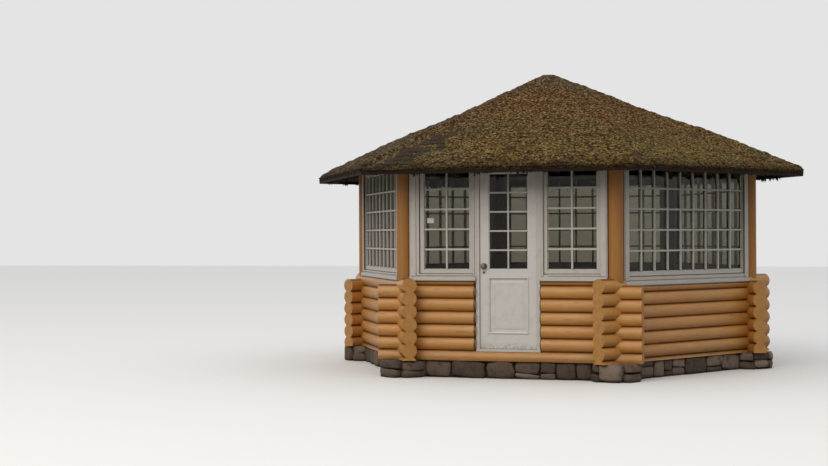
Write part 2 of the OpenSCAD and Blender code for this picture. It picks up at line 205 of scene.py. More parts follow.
def log_material(i):
    """Round pine logs with a worn ochre glaze: the stain is thin, so grain and dark checks show through."""
    mat, tree, coords = new_material(f"ochre_glazed_pine_{SIDE_NAMES[i]}")
    along = add(tree, "ShaderNodeMapping", {"Vector": coords, "Rotation": (0, 0, -side_turn(i))})
    spot = add(tree, "ShaderNodeSeparateXYZ", {"Vector": along}).outputs
    # Grain runs with the log, in streaks 6 mm wide and 0.2 m long that stay faint under the glaze
    grain = pattern(tree, along, (208.33, 6.4103, 6.4103), 5.0, 0.6, 0.4)
    streaks = pattern(tree, along, (714.29, 27.778, 27.778), 3.0, 0.5, 0.6, (3, 1, 2))
    patches = pattern(tree, coords, 434.78, 4.0, 0.6)
    grime = pattern(tree, along, (190.48, 57.143, 57.143), 6.0, 0.7, 0.5, (1, 4, 2))
    colour = add(tree, "ShaderNodeValToRGB", {"Fac": grain},
                 [(0.25, "#BB813B"), (0.5, "#CB8E45"), (0.75, "#D69C54")])
    colour = worn(tree, colour, "#B97F3E", 0.5, zone(tree, streaks, 0.5, 0.75))
    colour = worn(tree, colour, "#D3A76D", 0.4, zone(tree, patches, 0.5, 0.72))
    colour = worn(tree, colour, "#7C5022", 0.35, zone(tree, grime, 0.55, 0.72))
    # Dirt and painted shade along the groove between two logs: the groove is painted dark brown where it lies in
    # shade
    groove_z = FIRST_LOG_Z + (LOG_PITCH / 2 if i % 2 else 0) - LOG_PITCH / 2
    count = add(tree, "ShaderNodeMath", {0: spot["Z"], 1: 1 / LOG_PITCH, 2: -groove_z / LOG_PITCH},
                operation="MULTIPLY_ADD")
    phase = add(tree, "ShaderNodeMath", {0: count}, operation="FRACT")
    colour = worn(tree, colour, "#5A320A", 0.85, zone(tree, off_middle(tree, phase), 0.41, 0.53, patches, 0.08))
    # Rain splash darkens the lowest logs
    colour = worn(tree, colour, "#4A3014", 0.4, zone(tree, spot["Z"], 0.62, 0.40, grime, 0.5))
    if i == 0:
        # Painted shadow: beside the door frame the logs are painted near black, as the shadow gap between the log
        # ends and the frame
        colour = worn(tree, colour, "#24130A", 0.92, zone(tree, spot["X"], -0.391, -0.386),
                      zone(tree, spot["X"], 0.405, 0.401), zone(tree, spot["Z"], 0.318, 0.322))
    # Painted shade: the wood right under the window sill is painted dark, as the sill's shadow
    seat = RIGHT_SEAT_Z if i == 1 else SEAT_Z
    from_middle = add(tree, "ShaderNodeMath", {0: spot["X"]}, operation="ABSOLUTE")
    colour = worn(tree, colour, "#2E1B0B", 0.9, zone(tree, from_middle, FRAME_HALF + 0.002, FRAME_HALF),
                  zone(tree, spot["Z"], seat - 0.022, seat - 0.014))
    # Checks: long dark cracks, few to a log
    splits = pattern(tree, along, (909.09, 28.571, 28.571), 2.0, 0.4, 0.3, (0.4, 0.7 * i, 0.2))
    few = pattern(tree, along, (714.29, 100, 100), 1.0, shift=(5, 0, 1))
    crack = add(tree, "ShaderNodeMath", {
        0: zone(tree, off_middle(tree, splits), 0.006, 0.0015), 1: zone(tree, few, 0.56, 0.62)},
        operation="MULTIPLY")
    colour = worn(tree, colour, "#3B220C", 0.85, crack)
    # Knots: small dark round spots
    knots = add(tree, "ShaderNodeTexVoronoi", {
        "Vector": cells(tree, along, (625, 166.67, 166.67), (0.3, 0.2, 0.5)), "Scale": 1.0})
    colour = worn(tree, colour, "#7B4A1C", 0.45, zone(tree, knots, 0.08, 0.04))
    # End grain: the sawn heads are a shade paler and flatter, with rings 7 mm apart
    facing = add(tree, "ShaderNodeNewGeometry").outputs["Normal"]
    axis = (math.cos(side_turn(i)), math.sin(side_turn(i)), 0)
    lined_up = add(tree, "ShaderNodeVectorMath", {0: facing, 1: axis}, operation="DOT_PRODUCT")
    end = zone(tree, add(tree, "ShaderNodeMath", {0: lined_up}, operation="ABSOLUTE"), 0.9, 0.97)
    across = add(tree, "ShaderNodeMath", {0: spot["Y"], 1: APOTHEM}, operation="ADD")
    rise = add(tree, "ShaderNodeMath", {0: phase, 1: LOG_PITCH, 2: -LOG_PITCH / 2}, operation="MULTIPLY_ADD")
    radius = add(tree, "ShaderNodeVectorMath", {
        0: add(tree, "ShaderNodeCombineXYZ", {"X": across, "Y": rise})}, operation="LENGTH")
    wavy = add(tree, "ShaderNodeMath", {0: patches, 1: 0.02, 2: radius}, operation="MULTIPLY_ADD")
    turns = add(tree, "ShaderNodeMath", {0: wavy, 1: math.tau / 0.0069813}, operation="MULTIPLY")
    rings = add(tree, "ShaderNodeMath", {0: turns}, operation="SINE")
    heads = add(tree, "ShaderNodeValToRGB", {"Fac": pattern(tree, coords, 71.429, 5.0, 0.65)},
                [(0.35, "#B67E3A"), (0.65, "#C79149")])
    heads = worn(tree, heads, "#8F5E26", 0.14, zone(tree, rings, 0.2, 1.0))
    relief = add(tree, "ShaderNodeMath", {0: crack, 1: -1.6, 2: grain}, operation="MULTIPLY_ADD")
    return surface(mat, {
        "Base Color": worn(tree, colour, heads, 1.0, end), "Roughness": zone(tree, grain, -0.25, 1.6),
        "Specular IOR Level": 0.6}, relief, 4)


def post_material():
    """Peeled round posts with a deeper orange-brown glaze, with upright grain and faint checks."""
    mat, tree, coords = new_material("brown_glazed_pine_post")
    grain = pattern(tree, coords, (6.4935, 6.4935, 204.08), 5.0, 0.6, 0.4)
    broad = pattern(tree, coords, (62.5, 62.5, 625), 3.0, shift=(2, 0, 0))
    splits = pattern(tree, coords, (33.333, 33.333, 1388.9), 1.0, 0.4, shift=(0.1, 0.3, 0))
    crack = zone(tree, off_middle(tree, splits), 0.004, 0.001)
    colour = add(tree, "ShaderNodeValToRGB", {"Fac": grain},
                 [(0.25, "#A26A2C"), (0.5, "#AE7636"), (0.75, "#B98342")])
    colour = worn(tree, colour, "#9C6629", 0.5, zone(tree, broad, 0.45, 0.7))
    colour = worn(tree, colour, "#5E3A18", 0.45, crack)
    relief = add(tree, "ShaderNodeMath", {0: grain, 1: crack}, operation="SUBTRACT")
    return surface(mat, {"Base Color": colour, "Roughness": 0.55}, relief, 4)


def paint_material(name, tone, dark, algae_below=None):
    """Brushed linseed paint on pine: chalky, greyed by dirt, worn at the edges, with green algae low down."""
    mat, tree, coords = new_material(name)
    brush = pattern(tree, coords, (5.5556, 5.5556, 111.11), 4.0, 0.6)
    dirt = pattern(tree, coords, 111.11, 6.0, 0.7)
    runs = pattern(tree, coords, (37.037, 37.037, 277.78), 5.0, 0.6)
    specks = zone(tree, pattern(tree, coords, 16.667, 3.0, 0.8), 0.70, 0.76)
    colour = worn(tree, tone, dark, 0.6, zone(tree, dirt, 0.52, 0.85))
    colour = worn(tree, colour, dark, 0.25, zone(tree, runs, 0.58, 0.78))
    # Dirt and painted shade in the corners of the joinery: the colour darkens where the surfaces are occluded
    corner = add(tree, "ShaderNodeAmbientOcclusion", {"Distance": 0.03}, samples=6).outputs["AO"]
    colour = worn(tree, colour, "#4A4136", 0.75, zone(tree, corner, 0.72, 0.35))
    colour = worn(tree, colour, "#6B6152", 0.35, specks)
    if algae_below is not None:
        height = add(tree, "ShaderNodeSeparateXYZ", {"Vector": coords}).outputs["Z"]
        colour = worn(tree, colour, "#5F6448", 1.0,
                      zone(tree, height, algae_below + 0.10, algae_below, runs, 0.10),
                      zone(tree, pattern(tree, coords, 22.222, 5.0, 0.75), 0.42, 0.62))
    relief = add(tree, "ShaderNodeMath", {0: specks, 1: -0.5, 2: brush}, operation="MULTIPLY_ADD")
    return surface(mat, {"Base Color": colour, "Roughness": 0.5}, relief, 1.5, 0.4)


def glass_material():
    """Old drawn window glass, slightly wavy, with a grey-green tint that dulls what is seen through it."""
    mat, tree, coords = new_material("old_drawn_glass")
    # The IOR is below real glass: the room round it is pale, and both faces of a pane mirror it
    return surface(mat, {
        "Base Color": "#A19E91", "Transmission Weight": 1.0, "Roughness": 0.02, "IOR": 1.28},
        pattern(tree, coords, 200, 1.0), 10, 0.25)


def timber_material(name, dark, light, upright=False, rough=0.8):
    """Sawn softwood, bare and weathered: flat grain streaks and no gloss."""
    mat, tree, coords = new_material(name)
    length, width = 208.33, 6.9444
    grain = pattern(tree, coords, (width, width, length) if upright else (length, width, width), 5.0, 0.65, 0.3)
    colour = add(tree, "ShaderNodeValToRGB", {"Fac": grain}, [(0.3, dark), (0.7, light)])
    colour = worn(tree, colour, dark, 0.5, zone(tree, pattern(tree, coords, 200, 4.0, 0.6), 0.5, 0.75))
    return surface(mat, {"Base Color": colour, "Roughness": rough, "Specular IOR Level": 0.25}, grain, 4)


def metal_material(name, tone, roughness):
    """Dulled nickel or iron: fine wear, drawn 8 mm coarse so that it shows, breaks up the gloss."""
    mat, tree, coords = new_material(name)
    wear = pattern(tree, coords, 8.3333, 5.0, 0.7)
    return surface(mat, {
        "Base Color": worn(tree, tone, "#4A443C", 1.0, zone(tree, wear, 0.45, 0.75)), "Metallic": 1.0,
        "Roughness": zone(tree, wear, -roughness, 2.0)}, wear, 0.6, 0.3)


def moss_material():
    """Cushion moss in autumn: rust, ochre and olive patches, with painted shade in its hollows, and pale dry tips
    that carry a painted highlight.
    """
    mat, tree, coords = new_material("autumn_cushion_moss")
    spot = add(tree, "ShaderNodeSeparateXYZ", {"Vector": coords}).outputs
    # Tufts, clumps and patches are all half as wide again as they are high
    grain = pattern(tree, coords, (27.778, 27.778, 18.519), 3.0, 0.6, 0.3)
    clump = pattern(tree, coords, (111.11, 111.11, 74.074), 5.0, 0.7, 0.4)
    patch = pattern(tree, coords, (416.67, 416.67, 277.78), 5.0, 0.65, 0.5)
    region = pattern(tree, coords, 1818.2, 4.0, 0.6, 0.6)
    hue = add(tree, "ShaderNodeValToRGB", {"Fac": region}, [
        (0.36, "#524C26"), (0.44, "#735C2A"), (0.50, "#774C25"), (0.57, "#654122"), (0.66, "#584A22")])
    spots = add(tree, "ShaderNodeValToRGB", {"Fac": patch}, [
        (0.36, "#4C4722"), (0.46, "#746430"), (0.54, "#6A4623"), (0.64, "#807038")])
    # Redder high up and greener near the eaves, but drier and greyer on the left and round the tip
    colour = worn(tree, hue, spots, 0.5)
    colour = worn(tree, colour, "#6E4421", 0.5, zone(tree, spot["Z"], 3.18, 3.5, patch, 0.8))
    colour = worn(tree, colour, "#77692C", 0.38, zone(tree, spot["Z"], 3.22, 2.98, patch, 0.6),
                  zone(tree, patch, 0.44, 0.54))
    uneven = add(tree, "ShaderNodeMath", {0: zone(tree, clump, 0.40, 0.56), 1: 0.45, 2: 0.55},
                 operation="MULTIPLY_ADD")
    west = add(tree, "ShaderNodeMath", {0: zone(tree, spot["X"], 0.75, -1.1, patch, 1.6), 1: uneven},
               operation="MULTIPLY")
    top = zone(tree, spot["Z"], 3.52, 3.75, patch, 0.3)
    colour = worn(tree, colour, "#544B3A", 0.85, west)
    colour = worn(tree, colour, "#5A5140", 0.75, top)
    # Pale dry tips with a painted highlight on them, and painted shade in the hollows between tufts and between
    # clumps
    colour = worn(tree, colour, worn(tree, "#B0A173", "#979080", 1.0, west), 0.8, zone(tree, grain, 0.53, 0.64))
    colour = worn(tree, colour, "#150C03", 0.97, zone(tree, grain, 0.50, 0.40))
    colour = worn(tree, colour, "#261B0D", 0.7, zone(tree, clump, 0.47, 0.38))
    # The butts of the shingle courses below show as broken level lines
    height = add(tree, "ShaderNodeMath", {0: patch, 1: 0.03, 2: spot["Z"]}, operation="MULTIPLY_ADD")
    count = add(tree, "ShaderNodeMath", {0: height, 1: COURSE_RISE}, operation="DIVIDE")
    course = add(tree, "ShaderNodeMath", {0: count}, operation="FRACT")
    colour = worn(tree, colour, "#2B1F10", 0.45, zone(tree, course, 0.24, 0.08),
                  zone(tree, pattern(tree, coords, 250, 3.0, 0.6), 0.44, 0.56))
    # Dots of lichen where it is dry
    lichen = add(tree, "ShaderNodeTexVoronoi", {"Vector": cells(tree, coords, 90.909), "Scale": 1.0})
    colour = worn(tree, colour, "#9C9680", 0.7, zone(tree, lichen, 0.48, 0.39, grain, 0.5),
                  add(tree, "ShaderNodeMath", {0: west, 1: top}, operation="MAXIMUM"))
    # Painted shade: the moss is darkened at the eave's lip and in the wisps that hang below it
    colour = worn(tree, colour, "#291C12", 0.8, zone(tree, spot["Z"], 2.60, 2.46, clump, 0.16))
    colour = add(tree, "ShaderNodeMix", {0: 1.0, 6: colour, 7: "#F6EFE2"}, data_type="RGBA", blend_type="MULTIPLY")
    relief = add(tree, "ShaderNodeMath", {0: grain, 1: clump}, operation="ADD")
    return surface(mat, {"Base Color": colour, "Roughness": 0.95, "Specular IOR Level": 0.15}, relief, 30, 1.0)


def stone_material():
    """Grey-brown granite field stones, flecked, with soil in the hollows and painted shade in the joints between
    them.
    """
    mat, tree, coords = new_material("weathered_fieldstone")
    each = add(tree, "ShaderNodeNewGeometry").outputs["Random Per Island"]
    joint_shade = add(tree, "ShaderNodeAmbientOcclusion", {"Distance": 0.05}, samples=6).outputs["AO"]
    height = add(tree, "ShaderNodeSeparateXYZ", {"Vector": coords}).outputs["Z"]
    fleck = pattern(tree, coords, 11.111, 4.0, 0.75)
    soil = pattern(tree, coords, 111.11, 5.0, 0.65)
    colour = add(tree, "ShaderNodeValToRGB", {"Fac": each}, [(0.1, "#4A3B2F"), (0.5, "#655244"), (0.9, "#897667")])
    colour = worn(tree, colour, "#8E8577", 0.4, zone(tree, fleck, 0.5, 0.7))
    colour = worn(tree, colour, "#2E2118", 0.65, zone(tree, soil, 0.5, 0.68))
    colour = worn(tree, colour, "#2A2018", 0.6, zone(tree, height, 0.06, 0.0))
    # Painted shade: near black in the joints between the stones, where they hide each other
    colour = worn(tree, colour, "#150E08", 0.85, zone(tree, joint_shade, 0.75, 0.35))
    relief = add(tree, "ShaderNodeMath", {0: fleck, 1: soil}, operation="ADD")
    return surface(mat, {"Base Color": colour, "Roughness": 0.85}, relief, 6, 0.6)


def soil_material():
    """Damp dark earth packed between the stones, in crumbs that catch no gloss."""
    mat, tree, coords = new_material("packed_dark_earth")
    crumbs = pattern(tree, coords, 14.286, 6.0, 0.75)
    colour = add(tree, "ShaderNodeValToRGB", {"Fac": crumbs}, [(0.35, "#120C07"), (0.65, "#2E2419")])
    return surface(mat, {"Base Color": colour, "Roughness": 0.95}, crumbs, 10, 0.8)


def paper_material():
    """A blank sheet of matt white paper, faintly cockled by damp."""
    mat, tree, coords = new_material("blank_white_paper")
    return surface(mat, {"Base Color": "#E6E2DA", "Roughness": 0.9}, pattern(tree, coords, 20, 3.0), 0.5, 0.3)


def seen_directly(tree):
    """1 for what the camera sees, also by reflection or through glass, and 0 for light that bounces."""
    path = add(tree, "ShaderNodeLightPath").outputs
    direct = add(tree, "ShaderNodeMath", {0: path["Is Camera Ray"], 1: path["Is Glossy Ray"]}, operation="MAXIMUM")
    return add(tree, "ShaderNodeMath", {0: direct, 1: path["Is Transmission Ray"]}, operation="MAXIMUM")


def floor_stage():
    """The pale studio floor that the pavilion stands on."""
    bpy.ops.mesh.primitive_plane_add(size=120, location=(0, 0, 0))
    plane = bpy.context.object
    plane.name = "studio_floor"
    mat, tree, _ = new_material("studio_floor")
    # Pale to look at, but dull in what it throws back up at the walls
    colour = add(tree, "ShaderNodeMix", {0: seen_directly(tree), 6: "#77726A", 7: "#F3F1EE"}, data_type="RGBA")
    plane.data.materials.append(surface(mat, {"Base Color": colour, "Roughness": 0.9}))


# Camera, world and lamps

CAMERA_AT = (4.4668, -19.48886, 1.644)
CAMERA_AIM = (-0.307173, 0.951652, 0.001520)
CAMERA_ROLL = 0.00501
CAMERA_LENS = 67.82
LAMP_AT = (-7, -26.5, 19)
LAMP_AIM = (0, 0, 1.2)


def make_camera():
    """The view from 20 m off at eye height, a little to the right of the door."""
    data = bpy.data.cameras.new("camera")
    data.lens = CAMERA_LENS
    data.sensor_width = 36
    data.clip_end = 300
    cam = bpy.data.objects.new("camera", data)
    bpy.context.scene.collection.objects.link(cam)
    aim = Vector(CAMERA_AIM).to_track_quat("-Z", "Y").to_matrix().to_4x4()
    cam.matrix_world = Matrix.Translation(CAMERA_AT) @ aim @ Matrix.Rotation(-CAMERA_ROLL, 4, "Z")
    bpy.context.scene.camera = cam


def make_light():
    """Soft overcast light: an even sky with one broad weak lamp, and a pale background."""
    world = bpy.data.worlds.new("overcast")
    bpy.context.scene.world = world
    world.use_nodes = True
    tree = world.node_tree
    tree.nodes.clear()
    # Brighter overhead than at the horizon
    up = add(tree, "ShaderNodeSeparateXYZ", {0: add(tree, "ShaderNodeTexCoord").outputs["Generated"]}).outputs["Z"]
    strength = add(tree, "ShaderNodeMapRange", {
        "Value": up, "From Min": 0.0, "From Max": 0.9, "To Min": 0.22, "To Max": 1.25})
    sky = add(tree, "ShaderNodeBackground", {"Color": "#E2E4E6", "Strength": strength})
    seen = add(tree, "ShaderNodeBackground", {"Color": "#E4E4E4", "Strength": 1.0})
    both = add(tree, "ShaderNodeMixShader", {0: seen_directly(tree), 1: sky, 2: seen})
    add(tree, "ShaderNodeOutputWorld", {"Surface": both})
    lamp = bpy.data.lights.new("sky_lamp", "AREA")
    lamp.energy = 3760
    lamp.size = 22
    lamp.color = linear("#FFF8EE")[:3]
    obj = bpy.data.objects.new("sky_lamp", lamp)
    bpy.context.scene.collection.objects.link(obj)
    obj.location = LAMP_AT
    obj.rotation_mode = "QUATERNION"
    obj.rotation_quaternion = (Vector(LAMP_AIM) - obj.location).to_track_quat("-Z", "Y")


# Mesh helpers


def piece(name, mesh, mat, body="root"):
    """A finished piece at the origin that rides on a body."""
    obj = bpy.data.objects.new(name, mesh)
    bpy.context.scene.collection.objects.link(obj)
    mesh.materials.clear()
    mesh.materials.append(mat)
    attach(obj, body)
    return obj


def box_part(low, high, edge=0.0):
    """A box from its low and high corners, with its edges softened by this width."""
    work = bmesh.new()
    bmesh.ops.create_cube(work, size=1.0)
    for vert in work.verts:
        vert.co = Vector([lo + (c + 0.5) * (hi - lo) for lo, hi, c in zip(low, high, vert.co)])
    if edge:
        bmesh.ops.bevel(work, geom=work.edges[:], offset=edge, segments=1, affect="EDGES")
    return work


def joined(parts, name, smooth=False, side=None):
    """One mesh from several parts, moved from a wall's own axes where a side is given."""
    mesh = bpy.data.meshes.new(name)
    whole = bmesh.new()
    for part in parts:
        loose = bpy.data.meshes.new("loose")
        part.to_mesh(loose)
        part.free()
        whole.from_mesh(loose)
        bpy.data.meshes.remove(loose)
    whole.to_mesh(mesh)
    whole.free()
    for polygon in mesh.polygons:
        polygon.use_smooth = smooth
    if side is not None:
        mesh.transform(side_matrix(side))
    return mesh


def open_tree(name, inputs):
    """A Geometry Nodes tree with these named inputs and one for the material, and what they give."""
    tree = bpy.data.node_groups.new(name, "GeometryNodeTree")
    for key, value in inputs.items():
        kind = "NodeSocketInt" if isinstance(value, int) else "NodeSocketFloat"
        tree.interface.new_socket(name=key, in_out="INPUT", socket_type=kind).default_value = value
    tree.interface.new_socket(name="material", in_out="INPUT", socket_type="NodeSocketMaterial")
    tree.interface.new_socket(name="Geometry", in_out="OUTPUT", socket_type="NodeSocketGeometry")
    return tree, add(tree, "NodeGroupInput").outputs


def close_tree(tree, given, geometry):
    """Makes the instances real, gives them the material and ends the tree."""
    real = add(tree, "GeometryNodeRealizeInstances", {"Geometry": geometry})
    done = add(tree, "GeometryNodeSetMaterial", {"Geometry": real, "Material": given["material"]})
    add(tree, "NodeGroupOutput", {"Geometry": done})
    return tree


def grown_mesh(name, tree, values):
    """Runs a Geometry Nodes tree and returns its result as a plain mesh."""
    holder = bpy.data.objects.new(name + "_holder", bpy.data.meshes.new(name + "_holder"))
    bpy.context.scene.collection.objects.link(holder)
    modifier = holder.modifiers.new("grow", "NODES")
    modifier.node_group = tree
    for item in tree.interface.items_tree:
        if item.in_out == "INPUT":
            modifier[item.identifier] = values[item.name]
    evaluated = holder.evaluated_get(bpy.context.evaluated_depsgraph_get())
    mesh = bpy.data.meshes.new_from_object(evaluated)
    mesh.name = name
    bpy.data.objects.remove(holder)
    return mesh


# Glazing bars of windows and door

BAR_EDGE = 0.003


def bar_grid_tree():
    """Upright and level glazing bars of one window: boxes spread evenly between the glass edges."""
    tree, given = open_tree("glazing_bars", {
        "width": 1.0, "height": 1.0, "columns": 2, "rows": PANE_ROWS, "bar width": BAR_W, "bar depth": 0.03})
    both = add(tree, "GeometryNodeJoinGeometry")
    thin = add(tree, "ShaderNodeMath", {0: given["bar depth"], 1: 0.92}, operation="MULTIPLY")
    upright = {"X": given["bar width"], "Y": given["bar depth"], "Z": given["height"]}
    level = {"X": given["width"], "Y": thin, "Z": given["bar width"]}
    for count, span, axis, size in ((given["columns"], given["width"], "X", upright),
                                    (given["rows"], given["height"], "Z", level)):
        step = add(tree, "ShaderNodeMath", {0: span, 1: count}, operation="DIVIDE")
        first = add(tree, "ShaderNodeMath", {0: span, 1: -0.5, 2: step}, operation="MULTIPLY_ADD")
        line = add(tree, "GeometryNodeMeshLine", {
            "Count": add(tree, "ShaderNodeMath", {0: count, 1: 1}, operation="SUBTRACT"),
            "Start Location": add(tree, "ShaderNodeCombineXYZ", {axis: first}),
            "Offset": add(tree, "ShaderNodeCombineXYZ", {axis: step})}, mode="OFFSET")
        bar = add(tree, "GeometryNodeMeshCube", {"Size": add(tree, "ShaderNodeCombineXYZ", size)})
        bars = add(tree, "GeometryNodeInstanceOnPoints", {"Points": line, "Instance": bar})
        tree.links.new(bars.outputs[0], both.inputs[0])
    return close_tree(tree, given, both)


def window_and_door_bars(paint):
    """The bars in front of every glass, which is given by its left, right, foot and top."""
    tree = bar_grid_tree()
    rows = [(f"{name}_bars", SIDE_NAMES.index(side), (left, right, foot, GLASS_TOP), columns,
             (BAR_W, 0.040), GLASS_FACE - 0.003, "root", "white_paint")
            for name, (side, left, right, foot, columns) in WINDOWS.items()]
    rows.append(("door_bars", 0, DOOR_GLASS, 2, (0.020, 0.026), DOOR_GLASS_FACE, "door", "door_paint"))
    for name, i, (left, right, foot, top), columns, (width, depth), y, body, slot in rows:
        mesh = grown_mesh(name, tree, {
            "width": right - left, "height": top - foot, "columns": columns, "rows": PANE_ROWS,
            "bar width": width, "bar depth": depth, "material": paint})
        work = bmesh.new()
        work.from_mesh(mesh)
        bmesh.ops.bevel(work, geom=work.edges[:], offset=BAR_EDGE, segments=1, affect="EDGES")
        work.to_mesh(mesh)
        work.free()
        mesh.transform(side_matrix(i) @ Matrix.Translation(((left + right) / 2, y, (foot + top) / 2)))
        piece(name, mesh, paint, body)


# Roof: shingles under a sheet of moss


def roof_top(a):
    """Height of the covering's face at a plan distance from the middle, square to an eave."""
    top = EAVE_Z + EAVE_APOTHEM * SLOPE + COVER_T
    tip_from = 2 * TIP_LOSS / SLOPE
    if a < tip_from:
        return top - TIP_LOSS - SLOPE * a * a / (2 * tip_from)
    return top - SLOPE * a


def smooth(value, low, high):
    """0 below low, 1 above high, and an easy curve between them."""
    t = min(max((value - low) / (high - low), 0.0), 1.0)
    return t * t * (3 - 2 * t)


def moss_depth(x, y, a, side_x):
    """Height of the moss over the covering's face; below about -8 mm the shingles show."""
    hip = (a * TAN_HALF - abs(side_x)) * math.cos(math.pi / SIDES)
    broad = noise.fractal(Vector((x * 0.9, y * 0.9, 2.3)), 0.8, 2.1, 4)
    cushions = 0.5 - min(noise.voronoi(Vector((x * 10, y * 10, 0.4)))[0][0], 0.8)
    tufts = noise.fractal(Vector((x * 34, y * 34, 5.1)), 0.7, 2.0, 3)
    # The moss thins out beside the left hip of each slope, most at the front left, and round the tip
    bare = 0.0
    if side_x < 0:
        width, share = (0.75, 1.0) if x < -0.3 and y < -1.0 else (0.40, 0.3)
        bare = (1 - smooth(hip, 0.10, width)) * smooth(hip, 0.0, 0.07) * smooth(a, 0.9, 1.5) * share
    bare = max(bare, 0.5 * (1 - smooth(a, 0.12, 0.45)))
    thick = smooth(0.72 + 0.8 * broad - 0.95 * bare, 0.0, 0.5)
    ridge = 0.008 * (1 - smooth(hip, 0.0, 0.09)) * smooth(a, 0.3, 0.6)
    # The covering has sunk round the tip, which leaves it sharper
    sunk = 0.056 * smooth(a, -0.02, 0.30) * (1 - smooth(a, 1.0, 1.9))
    depth = -0.021 + 0.021 * thick + (0.008 + 0.018 * thick) * cushions + 0.008 * tufts + ridge - sunk
    return max(depth, -0.066)


MOSS_ROWS = 250
EAVE_ROWS = 8
TIP_REACH = 0.35


def moss_point(turn, k, j):
    """A point of the moss's upper side, row k down from the tip and j along it, with the edge's rows last."""
    flat = MOSS_ROWS - EAVE_ROWS
    a = EAVE_APOTHEM * min(k / flat, 1.0)
    drop = max(k - flat, 0) / EAVE_ROWS
    side_x = (2 * j / k - 1) * a * TAN_HALF if k else 0.0
    spot = turn @ Vector((side_x, -a, 0))
    depth = moss_depth(spot.x, spot.y, a, side_x)
    # The eave is round above and ragged below
    z = roof_top(a) + (min(depth, 0.0) if a < TIP_REACH else depth)
    z -= 0.030 * smooth(a, EAVE_APOTHEM - 0.05, EAVE_APOTHEM)
    if drop == 0:
        return turn @ Vector((side_x, -a, z))
    rag = noise.fractal(Vector((spot.x * 22, spot.y * 22, drop * 2.5)), 0.6, 2.0, 3)
    foot = EAVE_Z + 0.004 + 0.016 * noise.noise(Vector((spot.x * 17, spot.y * 17, 9)))
    back = 0.004 + 0.012 * drop + max(0.010 * rag, -0.004)
    reach = (EAVE_APOTHEM - back) / EAVE_APOTHEM
    return turn @ Vector((side_x * reach, -a * reach, z + (foot - z) * drop))


def moss_sheet(i, mat):
    """One slope's covering: a dense sheet of moss over a plain underside, closed along hips and eave."""
    turn = Matrix.Rotation(side_turn(i), 3, "Z")
    under_apex = EAVE_Z + EAVE_APOTHEM * SLOPE
    verts, upper, faces = [], [], []
    for k in range(MOSS_ROWS + 1):
        upper.append(range(len(verts), len(verts) + k + 1))
        verts += [moss_point(turn, k, j) for j in range(k + 1)]
    for k in range(MOSS_ROWS):
        for j in range(k + 1):
            faces.append((upper[k][j], upper[k + 1][j], upper[k + 1][j + 1]))
            if j < k:
                faces.append((upper[k][j], upper[k + 1][j + 1], upper[k][j + 1]))
    # Underside, met by plain walls along both hips
    last = MOSS_ROWS - EAVE_ROWS - 1
    left, right = ([upper[k][end] for k in range(last + 1)] for end in (0, -1))
    below_left, below_right = [], []
    for chain, below in ((left, below_left), (right, below_right)):
        for index in chain:
            if chain is right and index == left[0]:
                below.append(below_left[0])
                continue
            spot = verts[index]
            a = -(turn.transposed() @ spot).y
            # Under the blunt tip the sheet keeps some thickness
            least = 0.02 if a < TIP_REACH else 0.004
            below.append(len(verts))
            verts.append(Vector((spot.x, spot.y, min(under_apex - SLOPE * a, spot.z - least))))
    for k in range(last):
        faces.append((left[k + 1], left[k], below_left[k], below_left[k + 1]))
        faces.append((right[k], right[k + 1], below_right[k + 1], below_right[k]))
    edge = range(last, MOSS_ROWS + 1)
    faces.append(tuple(upper[k][0] for k in reversed(edge)) + (below_left[-1],))
    faces.append(tuple(upper[k][-1] for k in edge) + (below_right[-1],))
    faces.append(tuple(below_left) + tuple(upper[MOSS_ROWS]) + tuple(reversed(below_right[1:])))
    mesh = bpy.data.meshes.new(f"moss_{SIDE_NAMES[i]}")
    mesh.from_pydata([tuple(v) for v in verts], [], faces)
    work = bmesh.new()
    work.from_mesh(mesh)
    bmesh.ops.triangulate(work, faces=[f for f in work.faces if len(f.verts) > 4])
    bmesh.ops.recalc_face_normals(work, faces=work.faces[:])
    work.to_mesh(mesh)
    work.free()
    for polygon in mesh.polygons:
        polygon.use_smooth = True
    made = piece(f"moss_{SIDE_NAMES[i]}", mesh, mat, "root")
    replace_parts(made, f"roof_{SIDE_NAMES[i]}")


SHINGLE_SIZE = (0.094, 0.24, 0.011)
SHINGLE_SPACING = 0.10
LAID_SHARE = 0.34


